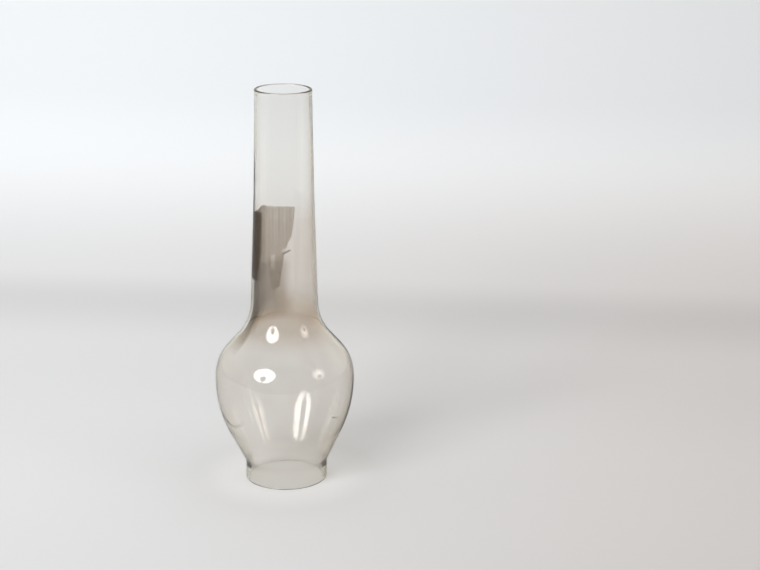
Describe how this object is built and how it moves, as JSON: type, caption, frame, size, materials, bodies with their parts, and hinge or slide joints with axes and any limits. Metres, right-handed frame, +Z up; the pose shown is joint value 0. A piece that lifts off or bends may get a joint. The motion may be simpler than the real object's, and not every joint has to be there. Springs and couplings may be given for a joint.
{
  "type": "lamp chimney",
  "caption": "Clear blown-glass chimney for a projection lantern's oil lamp: collar, round bulb and long tapered flue in one piece.",
  "frame": {"origin": "centre of the ground face that the collar stands on", "axes": "+Z up along the glass's own axis, from the collar to the flue's mouth"},
  "size_m": [0.0848, 0.0848, 0.243],
  "materials": {
    "glass": "clear blown glass with a faint warm grey tint and a brown-grey smoke film inside the flue"
  },
  "bodies": {
    "root": {"lamp_glass": "glass"}
  },
  "joints": []
}
